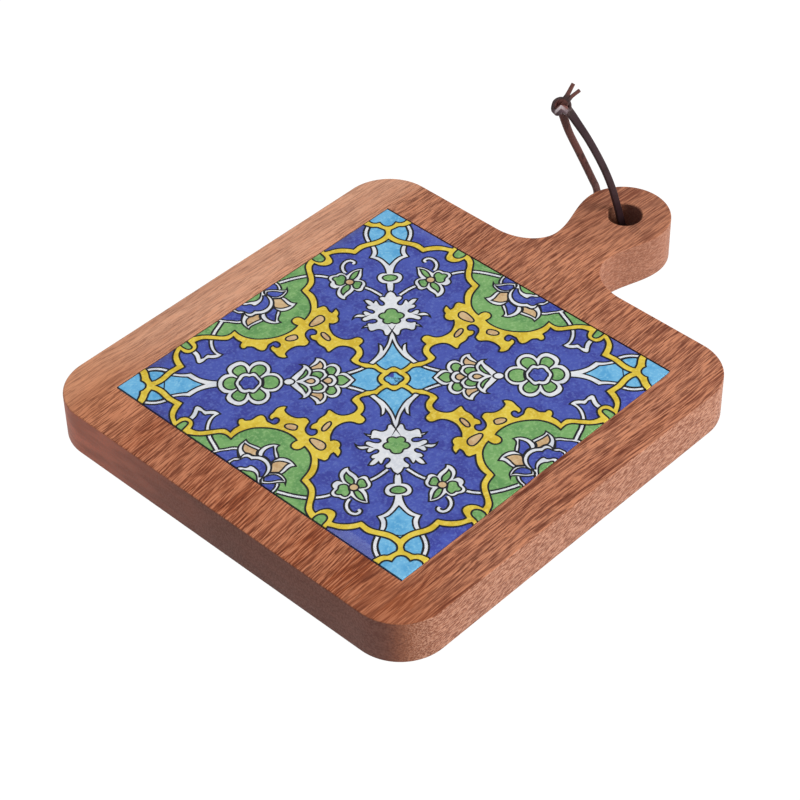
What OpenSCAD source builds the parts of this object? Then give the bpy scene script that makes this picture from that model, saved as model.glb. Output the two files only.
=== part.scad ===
// A square wooden trivet with a short handle.
// A glazed ceramic tile lies in a pocket in the top face, four soft feet carry
// the board, and a leather thong hangs in the hole of the handle.
// Millimetres. +X points along the handle, +Z up, and Z = 0 is the table.
// The origin is the middle of the footprint, on the table.

/* [Tile] */
// Side of the square tile
tile_side = 150; // [100:1:160]
// Thickness of the tile, glaze included
tile_t = 7; // [5:0.5:9]
// Height of the glazed face above the board
tile_proud = 0.1; // [0:0.1:1]
// Chamfer round the glazed face
tile_arris = 0.4; // [0.2:0.1:0.8]
// Number of keying grooves across the back of the tile
key_count = 5; // [3:1:7]
// Width of each keying groove
key_w = 7; // [4:0.5:12]
// Depth of the keying grooves
key_depth = 0.6; // [0.3:0.1:1]
// Gap between tile and board at the ends, along the handle
gap_end = 0.45; // [0.2:0.05:1]
// Gap between tile and board at the two sides
gap_side = 0.2; // [0.1:0.05:1]

/* [Board] */
// Length of the square part, along the handle
board_l = 192.2; // [180:0.5:260]
// Width of the square part
board_w = 190.6; // [180:0.5:260]
// Thickness of the plank
board_t = 20; // [16:0.5:30]
// Radius of the four corners, seen from above
corner_r = 20.5; // [8:0.5:24]

/* [Handle] */
// From the end of the square part to the middle of the hanging hole
reach = 42.4; // [36:0.5:60]
// Radius of the round head of the handle
head_r = 19.2; // [17:0.5:24]
// Width of the neck at its narrowest
neck_w = 26.6; // [20:0.2:32]
// From the end of the square part to the narrowest place of the neck
neck_x = 14.8; // [10:0.2:20]
// How far each side of the neck flares where it meets the square part
flare = 19.5; // [10:0.2:24]
// Diameter of the hanging hole
hole_d = 14.5; // [14:0.1:18]
// Chamfer at both rims of the hanging hole
hole_chamfer = 0.4; // [0.4:0.1:1.5]

/* [Adhesive] */
// Diameter of each dab of adhesive under the tile
dab_d = 28; // [16:1:36]
// Thickness of the dabs
dab_t = 1; // [0.6:0.1:1.6]
// From the middle of the tile to the outer dabs, along each side
dab_pitch = 48; // [30:1:54]

/* [Feet] */
// Diameter of a foot where it sticks to the board
foot_d = 12.7; // [10:0.1:16]
// Height of a foot
foot_h = 3.5; // [3.5:0.1:6]
// Diameter of the flat that stands on the table
foot_flat_d = 8; // [5:0.1:9]
// From the edges of the square part to the middle of a foot
foot_inset = 16; // [12:0.5:30]

/* [Thong] */
// Width of the leather lace, drawn round here
thong_d = 3; // [2:0.1:3.2]
// Diameter of the tied knot
knot_d = 8; // [6:0.1:9]
// Diameter of the two cut ends, which are pared thinner
tail_d = 2.2; // [1.6:0.1:2.8]
// Length of the first cut end, from the middle of the knot
tail_a = 10.1; // [8:0.1:14]
// Length of the second cut end, from the middle of the knot
tail_b = 9.9; // [8:0.1:14]

/* [Hidden] */
// How far a cutter runs past the face that it opens
overrun = 1;
// Radius of a foot's round edge, as a share of its height
foot_edge_share = 1 / 3;
// Facets of a full circle on the round pieces
$fn = 96;

// The square part lies off centre, because the origin is the middle of the whole length
total_l = board_l + reach + head_r;
board_x = (board_l - total_l) / 2;
handle_x = board_x + board_l / 2;
hole_x = handle_x + reach;
neck_half = neck_w / 2;

// Heights, from the table up
board_z = foot_h;
top_z = board_z + board_t;
tile_top_z = top_z + tile_proud;
tile_z = tile_top_z - tile_t;
floor_z = tile_z - dab_t;

// The thong's way, as points chosen along its middle line, measured from the
// hanging hole and the table: out of the knot, down through the hole, under the
// handle, up past its side and back to the knot
LOOP_ROUTE = [
    [-15.8, 19.8, 75.4], [-13.9, 18.9, 71.9], [-12.3, 17.3, 68], [-9.4, 14.4, 60.9],
    [-6.3, 11.2, 52], [-3.6, 8.7, 43.6], [-1.4, 6.7, 35.4], [0.1, 5.3, 28.2],
    [1.2, 4.2, 22.2], [2, 3.1, 16.8], [2.5, 1.9, 12], [2.9, 1.3, 8.2],
    [3.3, 1.7, 5.6], [3.7, 2.9, 3.5], [4.2, 4.8, 2.25], [4.8, 7.2, 1.75],
    [5.9, 11.4, 1.75], [7, 15.4, 1.75], [7.8, 18, 1.9], [8.6, 20.4, 2.9],
    [9.3, 22.3, 4.9], [9.8, 23.1, 7.7], [10.1, 23.1, 11.8], [9.8, 22.7, 16.5],
    [8, 22.2, 21.8], [5.1, 21.8, 27.2], [0.4, 21.7, 36.6], [-5.3, 22, 48.4],
    [-10.9, 22.4, 60], [-14, 22.8, 68.5], [-16.3, 22.95, 75.5]];
// Middle of the knot, and the directions in which the two cut ends leave it
KNOT_AT = [-17.9, 21.3, 77.3];
TAIL_A_WAY = [6.8, -0.1, 7.5];
TAIL_B_WAY = [8.7, -2, 4.4];
// Rings of the tube between two points of the route, and its sides
loop_steps = 2;
thong_sides = 8;
// A direction that is square to the plane in which the loop lies
LOOP_NORMAL = [0.9, -0.2, 0.3];

// A height that eases from nought to one as u does
function ease(u) = (1 - cos(180 * u)) / 2;

function arc(at, r, from, to, steps) = [for (i = [0 : steps])
    let (turn = from + (to - from) * i / steps) at + r * [cos(turn), sin(turn)]];

// One side of the handle: in from the head to the neck, then the elliptical flare
function swell_side(steps) = [for (i = [steps - 1 : -1 : 1])
    [handle_x + neck_x + (reach - neck_x) * i / steps, neck_half + (head_r - neck_half) * ease(i / steps)]];
function flare_side(steps) = [for (i = [steps : -1 : 0])
    [handle_x + neck_x * (1 - cos(90 * i / steps)), neck_half + flare * (1 - sin(90 * i / steps))]];

// A point of a smooth curve through four neighbours, between the middle two
function curve_at(a, b, c, d, t) =
    (2 * b + (c - a) * t + (2 * a - 5 * b + 4 * c - d) * t * t + (3 * b - a - 3 * c + d) * t * t * t) / 2;
function smooth_route(pts, steps) = concat(
    [for (i = [0 : len(pts) - 2], k = [0 : steps - 1])
        curve_at(pts[max(i - 1, 0)], pts[i], pts[i + 1], pts[min(i + 2, len(pts) - 1)], k / steps)],
    [pts[len(pts) - 1]]);

function unit(v) = v / norm(v);
function along(pts, i) = unit(pts[min(i + 1, len(pts) - 1)] - pts[max(i - 1, 0)]);
function tube_ring(at, way, up, r, sides) =
    let (side = unit(up - way * (up * way)), other = cross(way, side))
    [for (k = [0 : sides - 1]) at + r * (side * cos(360 * k / sides) + other * sin(360 * k / sides))];

// A round tube along points, closed at both ends
module tube(pts, d, sides, up) {
    count = len(pts);
    rings = [for (i = [0 : count - 1], p = tube_ring(pts[i], along(pts, i), up, d / 2, sides)) p];
    walls = [for (i = [0 : count - 2], k = [0 : sides - 1])
        let (a = i * sides + k, b = i * sides + (k + 1) % sides)
        each [[a, a + sides, b], [b, a + sides, b + sides]]];
    first_cap = [for (k = [1 : sides - 2]) [0, k, k + 1]];
    last = (count - 1) * sides;
    last_cap = [for (k = [1 : sides - 2]) [last, last + k + 1, last + k]];
    polyhedron(points = rings, faces = concat(walls, first_cap, last_cap));
}

// Half of the plank's outline, from the tip of the handle round to the far end
function half_outline() = concat(
    arc([hole_x, 0], head_r, 0, 90, 24),
    swell_side(18),
    flare_side(18),
    arc([handle_x - corner_r, board_w / 2 - corner_r], corner_r, 0, 90, 24),
    arc([handle_x - board_l + corner_r, board_w / 2 - corner_r], corner_r, 90, 180, 24));

// The whole plank seen from above, sawn in one piece with its handle
module board_outline() {
    half = half_outline();
    polygon(concat(half, [for (i = [len(half) - 1 : -1 : 1]) [half[i].x, -half[i].y]]));
}

// The hole for the thong, bored through and chamfered at both faces
module hanging_hole() {
    translate([hole_x, 0, board_z - overrun]) cylinder(d = hole_d, h = board_t + 2 * overrun);
    for (face = [0, 1])
        translate([hole_x, 0, face == 0 ? board_z : top_z])
            mirror([0, 0, face])
                translate([0, 0, -overrun])
                    cylinder(r1 = hole_d / 2 + hole_chamfer + overrun, r2 = hole_d / 2, h = hole_chamfer + overrun);
}

module board() {
    color([0.66, 0.42, 0.31])
    difference() {
        translate([0, 0, board_z]) linear_extrude(board_t) board_outline();
        translate([board_x - tile_side / 2 - gap_end, -tile_side / 2 - gap_side, floor_z])
            cube([tile_side + 2 * gap_end, tile_side + 2 * gap_side, top_z - floor_z + overrun]);
        hanging_hole();
    }
}

// Grooves across the back of the tile, which give the adhesive its hold
module keying_grooves() {
    pitch = tile_side / (key_count + 1);
    for (i = [0 : key_count - 1])
        translate([board_x - tile_side / 2 - overrun, (i - (key_count - 1) / 2) * pitch - key_w / 2, tile_z - overrun])
            cube([tile_side + 2 * overrun, key_w, key_depth + overrun]);
}

module tile() {
    bevel = tile_arris * sqrt(2);
    color([0.26, 0.30, 0.70])
    difference() {
        translate([board_x - tile_side / 2, -tile_side / 2, tile_z]) cube([tile_side, tile_side, tile_t]);
        keying_grooves();
        for (turn = [0 : 90 : 270])
            translate([board_x, 0, tile_top_z])
                rotate([0, 0, turn])
                    translate([tile_side / 2, 0, 0])
                        rotate([0, 45, 0])
                            cube([bevel, tile_side + 2 * overrun, bevel], center = true);
    }
}

// One squeezed dab of adhesive, flat at both faces and round at its rim
module dab() {
    rotate_extrude() {
        square([(dab_d - dab_t) / 2, dab_t]);
        translate([(dab_d - dab_t) / 2, dab_t / 2]) circle(d = dab_t, $fn = 24);
    }
}

module tile_adhesive() {
    color([0.86, 0.85, 0.82])
    for (at = [[0, 0], [1, 1], [1, -1], [-1, 1], [-1, -1]])
        translate([board_x + at.x * dab_pitch, at.y * dab_pitch, floor_z]) dab();
}

// A soft stick-on foot: a short cone with a round edge and a flat to stand on.
// The sides are -1 or 1 along X and along Y.
module foot(side_x, side_y) {
    edge_r = foot_h * foot_edge_share;
    flat_r = foot_flat_d / 2;
    color([0.13, 0.12, 0.12])
    translate([board_x + side_x * (board_l / 2 - foot_inset), side_y * (board_w / 2 - foot_inset), 0])
        rotate_extrude() {
            square([flat_r, foot_h]);
            translate([flat_r, edge_r]) circle(edge_r, $fn = 48);
            polygon([[0, edge_r], [flat_r + edge_r, edge_r], [foot_d / 2, foot_h], [0, foot_h]]);
        }
}

module thong_loop() {
    color([0.26, 0.18, 0.17])
    translate([hole_x, 0, 0]) tube(smooth_route(LOOP_ROUTE, loop_steps), thong_d, thong_sides, LOOP_NORMAL);
}

module thong_knot() {
    color([0.24, 0.17, 0.16])
    translate([hole_x, 0, 0] + KNOT_AT) sphere(d = knot_d, $fn = 48);
}

// The two cut ends, which leave the knot side by side
module thong_tails() {
    color([0.28, 0.19, 0.18])
    translate([hole_x, 0, 0] + KNOT_AT) {
        tube([[0, 0, 0], tail_a * unit(TAIL_A_WAY)], tail_d, thong_sides, [0, 1, 0]);
        tube([[0, 0, 0], tail_b * unit(TAIL_B_WAY)], tail_d, thong_sides, [0, 1, 0]);
    }
}

board();
tile();
tile_adhesive();
foot(-1, 1);  // foot_front_left
foot(-1, -1);  // foot_front_right
foot(1, 1);  // foot_handle_left
foot(1, -1);  // foot_handle_right
thong_loop();
thong_knot();
thong_tails();
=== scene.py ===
# A square wooden trivet with a short handle, a glazed tile let into its top,
# and a knotted leather thong to hang it by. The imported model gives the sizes
# and the places, and this script dresses it.
import math

import bmesh
import bpy
from mathutils import Matrix, Vector


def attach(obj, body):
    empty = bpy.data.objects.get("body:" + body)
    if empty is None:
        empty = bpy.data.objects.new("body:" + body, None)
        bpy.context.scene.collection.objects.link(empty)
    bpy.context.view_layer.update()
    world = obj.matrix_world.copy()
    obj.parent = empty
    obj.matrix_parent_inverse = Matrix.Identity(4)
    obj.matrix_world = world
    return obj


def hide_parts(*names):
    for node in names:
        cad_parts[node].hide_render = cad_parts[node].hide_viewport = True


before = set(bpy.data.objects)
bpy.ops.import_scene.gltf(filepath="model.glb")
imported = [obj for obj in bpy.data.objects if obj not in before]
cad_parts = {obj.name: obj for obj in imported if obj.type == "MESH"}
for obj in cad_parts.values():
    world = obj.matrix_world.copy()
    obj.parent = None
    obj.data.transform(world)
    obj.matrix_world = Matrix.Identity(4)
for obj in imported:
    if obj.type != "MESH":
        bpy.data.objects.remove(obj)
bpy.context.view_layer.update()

# ---------------------------------------------------------------------------
# The board: one plank of reddish hardwood, 20 mm thick, sawn out with its
# handle, routed for the tile and bored for the thong. Its edges are rounded
# by hand and it is oiled, so that the open grain shows as short dark pores.
# ---------------------------------------------------------------------------
MM = 0.001
BOARD_TOP = 23.5 * MM
BOARD_UNDER = 3.5 * MM
HOLE_X = 107.7 * MM
HOLE_EDGE_R = 7.65 * MM
ARRIS = 0.6 * MM
TILE_X = -30.8 * MM
POCKET_HALF = 76 * MM
# How far from a level a corner may lie and still count as on it
ON_LEVEL = 0.01 * MM
# The plank's bands are set out this far to either side of its middle, in millimetres
BANDS_HALF = 96


def plug(tree, node, sockets):
    """Give a node's sockets their values, or the wires that lead to them."""
    for name, value in sockets.items():
        if isinstance(value, Wire):
            tree.links.new(value.socket, node.inputs[name])
        else:
            node.inputs[name].default_value = value


class Wire:
    """A value in a material's nodes, which Python's own signs add to and multiply."""

    def __init__(self, tree, socket):
        self.tree = tree
        self.socket = socket

    def node(self, kind, settings, sockets, output=0):
        """Add a node: its settings first, then the values or wires of its sockets."""
        new = self.tree.nodes.new(kind)
        for name, value in settings.items():
            setattr(new, name, value)
        plug(self.tree, new, sockets)
        return Wire(self.tree, new.outputs[output])

    def sum(self, operation, first, second):
        return self.node("ShaderNodeMath", {"operation": operation}, {0: first, 1: second})

    def __add__(self, other):
        return self.sum("ADD", self, other)

    def __radd__(self, other):
        return self.sum("ADD", other, self)

    def __sub__(self, other):
        return self.sum("SUBTRACT", self, other)

    def __rsub__(self, other):
        return self.sum("SUBTRACT", other, self)

    def __mul__(self, other):
        return self.sum("MULTIPLY", self, other)


def tint(red, green, blue):
    """A colour read off a screen, from 0 to 255, as Blender's linear light."""
    return tuple(((c / 255 + 0.055) / 1.055) ** 2.4 for c in (red, green, blue)) + (1.0,)


def part_of(place, axis):
    """One coordinate of a place, in millimetres."""
    return place.node("ShaderNodeSeparateXYZ", {}, {0: place}, output=axis) * (1 / MM)


def rise(value, low, high):
    """Nought below low, one above high, and smooth between."""
    return value.node("ShaderNodeMapRange", {"interpolation_type": "SMOOTHSTEP"},
                      {"Value": value, "From Min": low, "From Max": high})


def mottle(place, per_metre, stretch=(1, 1, 1), detail=2.0, offset=(0, 0, 0), roughness=0.5):
    """Even noise, drawn out along the axes whose stretch is below one."""
    moved = place.node("ShaderNodeMapping", {},
                       {"Vector": place, "Scale": stretch, "Location": offset})
    return place.node("ShaderNodeTexNoise", {"noise_dimensions": "3D"}, {
        "Vector": moved, "Scale": per_metre, "Detail": detail, "Roughness": roughness})


def blend(share, first, second):
    """Mix two colours. Where the share is a plain number, the first colour is a wire."""
    wire = share if isinstance(share, Wire) else first
    return wire.node("ShaderNodeMix", {"data_type": "RGBA"},
                     {0: share, 6: first, 7: second}, output=2)


def bands(value, *stops):
    """Colours that follow one another as a value rises from nought to one."""
    ramp = value.node("ShaderNodeValToRGB", {}, {0: value})
    elements = ramp.socket.node.color_ramp.elements
    while len(elements) < len(stops):
        elements.new(0.5)
    for element, (position, *colour) in zip(elements, stops):
        element.position = position
        element.color = tint(*colour)
    return ramp


def relief(height, depth, strength=1.0):
    return height.node("ShaderNodeBump", {},
                       {"Height": height, "Distance": depth, "Strength": strength})


def finish_named(name):
    """A new material, and a wire with the place on the piece."""
    material = bpy.data.materials.new(name)
    material.use_nodes = True
    place = material.node_tree.nodes.new("ShaderNodeTexCoord")
    return material, Wire(material.node_tree, place.outputs["Object"])


def set_shader(material, sockets):
    plug(material.node_tree, material.node_tree.nodes["Principled BSDF"], sockets)


def oiled_wood():
    """Red-brown long grain with fine pale and dark streaks, and duller end grain."""
    material, place = finish_named("oiled_wood")
    x, y, z = (part_of(place, axis) for axis in range(3))
    # The plank's bands run along it: browner in the middle, pale and calm at the far edge,
    # and redder towards the first end. The far edge's paleness is partly the plank's own tone and
    # partly painted light from the far side
    across = (y + BANDS_HALF) * (0.5 / BANDS_HALF)
    far_bands = bands(
        across, (0.00, 174, 112, 85), (0.20, 174, 111, 83), (0.44, 174, 112, 83),
        (0.56, 168, 107, 80), (0.69, 160, 100, 74), (0.81, 186, 120, 90), (0.93, 208, 148, 115))
    near_bands = bands(
        across, (0.00, 145, 73, 38), (0.15, 158, 82, 44), (0.36, 168, 92, 56), (0.52, 170, 94, 58),
        (0.65, 158, 86, 54), (0.76, 176, 102, 68), (0.88, 198, 128, 90), (1.00, 216, 153, 116))
    plank = blend(1 - rise(x, -118, -70), far_bands, near_bands)
    calm = rise(y, 68, 84)
    # Painted light and the plank's own tone: the far edge paler, away from the first end
    plank = blend(calm * rise(x, -110, -60) * 0.8, plank, tint(222, 169, 140))
    plank = blend(rise(x, 80, 112) * 0.46, plank, tint(104, 58, 46))
    # The grain wanders from straight, and slants where it runs out at the first end
    wander = mottle(place, 11, (0.6, 1, 1), 1.0) - 0.5
    sway = mottle(place, 40, (0.45, 1, 1), 1.0) - 0.5
    slant = (x + 115) * (1 - rise(x, -104, -85)) * rise(y, -74, -52) * (1 - rise(y, 0, 80) * 0.6)
    drift = y + wander * 8.0 + sway * 3.6 - slant * 0.12
    grain = place.node("ShaderNodeCombineXYZ", {}, {0: x * MM, 1: drift * MM, 2: z * MM})
    # Broad ribbons, fine streaks, long dark lines, and pores a few millimetres long
    ribbon = mottle(grain, 95, (0.10, 1, 1))
    streak = mottle(grain, 1650, (0.062, 1, 1), 1.0)
    line_grain = mottle(grain, 800, (0.045, 1, 1), offset=(0.7, 0.2, 0.9))
    pore = mottle(grain, 1900, (0.10, 1, 1), 1.0, (3.1, 1.7, 0.4))
    first_corner = (1 - rise(x, -116, -88)) * (1 - rise(y, -74, -56))
    lively = 1 - calm * 0.55 - rise(x, 72, 98) * 0.3 - first_corner * 0.4
    ribboned = blend(rise(ribbon, 0.30, 0.62), blend(0.20, plank, tint(118, 62, 42)),
                     blend(0.16, plank, tint(222, 166, 134)))
    pale = rise(streak, 0.51, 0.60)
    dark = rise(1 - streak, 0.51, 0.60)
    lit = blend(pale * lively * 0.58, ribboned, tint(212, 140, 103))
    dim = blend(dark * lively * 0.62, lit, tint(98, 42, 26))
    lined = blend(rise(line_grain, 0.58, 0.66) * lively * 0.36, dim, tint(88, 38, 26))
    # Thin growth lines, plainest at the near corner
    growth_line = mottle(grain, 150, (0.05, 1, 1), 0.6, (5.2, 1.1, 0)) - 0.5
    near_corner = (1 - rise(y, -76, -58)) * (1 - rise(x, -50, 30))
    drawn_line = 1 - rise(growth_line * growth_line, 0.00005, 0.0006)
    lined = blend(drawn_line * lively * (near_corner * 0.45 + 0.25), lined, tint(88, 34, 20))
    pores = rise(pore, 0.56, 0.63) * lively
    long_grain = blend(pores * 0.5, lined, tint(78, 34, 24))
    # The plank's long edges are paler, with short flecks. Its ends are darker,
    # partly from the oil that they drink and partly as painted shade
    facing = place.node("ShaderNodeTexCoord", {}, {}, output="Normal")
    end_share, edge_share = (rise(facing.node("ShaderNodeMath", {"operation": "ABSOLUTE"}, {
        0: facing.node("ShaderNodeSeparateXYZ", {}, {0: facing}, output=axis)}), 0.55, 0.97)
                             for axis in ("X", "Y"))
    slope = z - x * 0.16
    rising = place.node("ShaderNodeCombineXYZ", {}, {0: x * MM, 1: y * MM, 2: slope * MM})
    fleck = mottle(rising, 2700, (0.17, 1, 1), 1.0, (2.2, 0.4, 1.3))
    edge = blend(0.66, long_grain, tint(166, 113, 90))
    flecked = 1 - rise(x, 55, 85) * 0.5
    edge = blend(rise(fleck, 0.50, 0.57) * flecked * 0.62, edge, tint(212, 160, 134))
    edge = blend(rise(1 - fleck, 0.50, 0.57) * flecked * 0.54, edge, tint(112, 64, 47))
    long_grain = blend(edge_share, long_grain, edge)
    speck = mottle(place, 1100, (0.2, 1, 1), 3.0)
    growth = mottle(place, 150, (0.1, 0.4, 2.0), 3.0)
    # Painted light: the end grain grows lighter towards the far corner, where more light falls
    sawn = blend(rise(y, -10, 95), tint(114, 71, 61), tint(205, 121, 98))
    rings = blend(rise(growth, 0.35, 0.65) * 0.35, sawn, tint(84, 50, 42))
    end_grain = blend(rise(speck, 0.35, 0.65) * 0.4, rings, tint(150, 108, 94))
    set_shader(material, {
        "Base Color": blend(end_share, long_grain, end_grain),
        "Roughness": 0.5 + pores * 0.2 + (ribbon - 0.5) * 0.12,
        "Specular IOR Level": 0.12,
        "Normal": relief(streak * 0.6 - pores * 0.6, 0.07 * MM, 0.7)})
    return material


def merged_copy(node):
    """The node's solid with its loose triangles joined into whole faces."""
    solid = bmesh.new()
    solid.from_mesh(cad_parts[node].data)
    bmesh.ops.remove_doubles(solid, verts=solid.verts, dist=0.001 * MM)
    bmesh.ops.recalc_face_normals(solid, faces=solid.faces)
    bmesh.ops.dissolve_limit(solid, angle_limit=math.radians(0.3),
                             verts=solid.verts, edges=solid.edges)
    return solid


def piece(name, solid, material, body, smooth_below=35):
    """Turn a bmesh into a named piece that rides on a body, and smooth its soft edges."""
    mesh = bpy.data.meshes.new(name)
    solid.to_mesh(mesh)
    solid.free()
    mesh.materials.append(material)
    mesh.polygons.foreach_set("use_smooth", [True] * len(mesh.polygons))
    mesh.set_sharp_from_angle(angle=math.radians(smooth_below))
    made = bpy.data.objects.new(name, mesh)
    bpy.context.scene.collection.objects.link(made)
    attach(made, body)
    return made


def on_outline(edge):
    """True for an edge round the outside of the plank's top or underside."""
    level = edge.verts[0].co.z
    off_face = min(abs(level - BOARD_TOP), abs(level - BOARD_UNDER))
    if abs(level - edge.verts[1].co.z) > ON_LEVEL or off_face > ON_LEVEL:
        return False
    middle = (edge.verts[0].co + edge.verts[1].co) / 2
    in_pocket = abs(middle.x - TILE_X) < POCKET_HALF and abs(middle.y) < POCKET_HALF
    by_hole = math.hypot(middle.x - HOLE_X, middle.y) < HOLE_EDGE_R * 1.1
    return not in_pocket and not by_hole


plank = merged_copy("board")
bmesh.ops.bevel(plank, geom=[e for e in plank.edges if on_outline(e)], offset=ARRIS,
                affect="EDGES", segments=4, profile=0.5, material=-1)
board = piece("oiled_board", plank, oiled_wood(), "trivet")
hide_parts("board")

# ---------------------------------------------------------------------------
# The adhesive: five squeezed dabs of cream tile cement between the floor of
# the pocket and the back of the tile.
# ---------------------------------------------------------------------------
cement, place = finish_named("tile_cement")
grit = mottle(place, 700, detail=4.0)
set_shader(cement, {
    "Base Color": blend(grit, tint(206, 202, 192), tint(226, 223, 214)),
    "Roughness": 0.7 + grit * 0.2,
    "Normal": relief(grit, 0.15 * MM)})
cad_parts["tile_adhesive"].material_slots[0].material = cement

# ---------------------------------------------------------------------------
# The tile: pressed pale clay, 150 mm square and very slightly crowned by its
# firing, with keyed grooves in its back. Blue glaze covers its face and runs
# a little way down its sides.
# ---------------------------------------------------------------------------
TILE_HALF = 75.0
TILE_ARRIS = 0.4
TILE_MID = Vector((TILE_X, 0, 23.6 * MM))
CROWN = 0.15
CUT_REACH = 0.0004
GLOSS = {"Specular IOR Level": 0.3, "Coat Roughness": 0.06}


def crown(x, y):
    """How far the face stands above its rim. It falls away over the arris."""
    over_edge = max(0, max(abs(x), abs(y)) - TILE_HALF + TILE_ARRIS)
    return CROWN * max(0, 1 - (x / TILE_HALF) ** 2) * max(0, 1 - (y / TILE_HALF) ** 2) - over_edge


def crowned(solid, from_height):
    """Lift what lies above a height with the crown."""
    for vert in solid.verts:
        if vert.co.z > from_height:
            vert.co.z += crown(vert.co.x, vert.co.y)


def set_in_pocket(solid):
    """Bring a solid from millimetres about the tile's middle to its place in the board."""
    bmesh.ops.scale(solid, verts=solid.verts, vec=(MM, MM, MM))
    bmesh.ops.translate(solid, verts=solid.verts, vec=TILE_MID)


def cut_in_squares(solid, faces, pitch):
    """Cut faces with upright planes, so that they can follow the crown."""
    reach = int(TILE_HALF / pitch)
    places = [step * pitch for step in range(-reach, reach + 1)]
    for axis in (Vector((1, 0, 0)), Vector((0, 1, 0))):
        for place in [TILE_ARRIS - TILE_HALF] + places + [TILE_HALF - TILE_ARRIS]:
            live = [f for f in faces if f.is_valid]
            ring = set(e for f in live for e in f.edges)
            points = set(v for f in live for v in f.verts)
            cut = bmesh.ops.bisect_plane(solid, geom=live + list(ring) + list(points),
                                         dist=CUT_REACH, plane_co=axis * place, plane_no=axis)
            faces = [g for g in cut["geom"] if isinstance(g, bmesh.types.BMFace)]


def fired(place, main, deep, bright):
    """Glass-like glaze, deeper where it has pooled: its colour, its relief and its grain."""
    pool = mottle(place, 150, detail=4.0, roughness=0.6)
    fine = mottle(place, 900)
    pooled = blend(rise(pool, 0.38, 0.58), tint(*deep), tint(*main))
    colour = blend(rise(fine, 0.48, 0.7) * 0.6, pooled, tint(*bright))
    return colour, relief(pool * 0.7 + fine * 0.3, 0.05 * MM, 0.5), fine


def clay_and_blue():
    """Blue glaze on the face and the top of the sides, bare clay below."""
    material, place = finish_named("blue_glaze_on_clay")
    glazed = rise(part_of(place, 2) + mottle(place, 160) * 1.6, 22.3, 22.6)
    blue, uneven, fine = fired(place, (70, 84, 170), (57, 64, 150), (94, 112, 186))
    clay = blend(fine, tint(208, 196, 176), tint(226, 216, 200))
    set_shader(material, {
        **GLOSS, "Base Color": blend(glazed, clay, blue), "Coat Weight": glazed * 0.1,
        "Roughness": 0.75 - glazed * 0.62 + fine * 0.05, "Normal": uneven})
    return material


biscuit = merged_copy("tile")
bmesh.ops.translate(biscuit, verts=biscuit.verts, vec=-TILE_MID)
bmesh.ops.scale(biscuit, verts=biscuit.verts, vec=(1 / MM, 1 / MM, 1 / MM))
face_of_tile = [f for f in biscuit.faces if f.calc_center_median().z > -0.01]
cut_in_squares(biscuit, face_of_tile, 6.25)
crowned(biscuit, -0.001)
set_in_pocket(biscuit)
tile = piece("crowned_tile", biscuit, clay_and_blue(), "trivet")
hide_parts("tile")

# ---------------------------------------------------------------------------
# The painting on the tile: coloured glazes laid side by side and edged with a
# dark line. A quarter of the pattern is drawn and turned over both diagonals.
# Points are millimetres along and across the tile's long diagonal, measured
# from its middle, and a third number marks a sharp corner. It is all drawn in
# millimetres and shrunk at the end, because fine work comes out cleaner so.
# ---------------------------------------------------------------------------
# The dark line: its width, how far it stands above its coat, and how flat it is
LINE = 0.72
LINE_LIFT = 0.009
LINE_FLAT = 0.02
# A stem: its dark edge over both sides, how much its white is widened, and how flat each is
STEM_EDGE = 1.3
STEM_FULL = 1.06
STEM_EDGE_FLAT = 0.006
STEM_FLAT = 0.018
COATS = [1, 2, 2.5, 3, 3.5, 4, 4.2, 4.5, 4.6, 5, 6, 7]
COAT_STEP = 0.012
STROKE_STEP = 0.0001
# How far a patch of colour reaches down into the tile, so that it is a solid
SUNK = 0.06
# A point this close to its fold isn't drawn twice
ON_FOLD = 0.001
painted = {name: bmesh.new() for name in
           ("white", "yellow", "green", "turquoise", "apricot", "cobalt", "line", "network_line")}
strokes_laid = 0


def turned_over(points, along, across):
    return [(p[0] * along, p[1] * across) + tuple(p[2:]) for p in points]


def unfolded(points, fold):
    """The whole outline of a shape that was drawn on one side of its fold."""
    if fold in ("near_far", "both"):
        points = points + [p for p in turned_over(points, 1, -1)[::-1] if abs(p[1]) > ON_FOLD]
    if fold in ("left_right", "both"):
        points = points + [p for p in turned_over(points, -1, 1)[::-1] if abs(p[0]) > ON_FOLD]
    return points


def all_round(points, fold):
    """The outline, in each of the places that the pattern repeats it."""
    whole = unfolded(points, fold)
    places = {"left_right": [(1, 1), (1, -1)], "near_far": [(1, 1), (-1, 1)],
              "both": [(1, 1)], None: [(1, 1), (1, -1), (-1, 1), (-1, -1)]}[fold]
    return [turned_over(whole, along, across) for along, across in places]


def drawn(loops, closed, depth=0.0, width=0.0):
    """A mesh of smooth outlines, either filled or followed with a round nib."""
    curve = bpy.data.curves.new("drawing", "CURVE")
    curve.dimensions = "2D"
    curve.resolution_u = 3
    curve.fill_mode = "NONE" if width else "BOTH"
    curve.extrude = depth / 2
    curve.bevel_depth = width / 2
    curve.bevel_resolution = 1
    curve.use_fill_caps = True
    for loop in loops:
        spline = curve.splines.new("BEZIER")
        spline.bezier_points.add(len(loop) - 1)
        spline.use_cyclic_u = closed
        for knot, point in zip(spline.bezier_points, loop):
            along, across = point[0], point[1]
            knot.co = ((across + along) / math.sqrt(2), (across - along) / math.sqrt(2), 0)
            handles = "VECTOR" if len(point) > 2 else "AUTO"
            knot.handle_left_type = knot.handle_right_type = handles
    drawing = bpy.data.objects.new("drawing", curve)
    mesh = bpy.data.meshes.new_from_object(drawing)
    bpy.data.objects.remove(drawing)
    bpy.data.curves.remove(curve)
    return mesh


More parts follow.
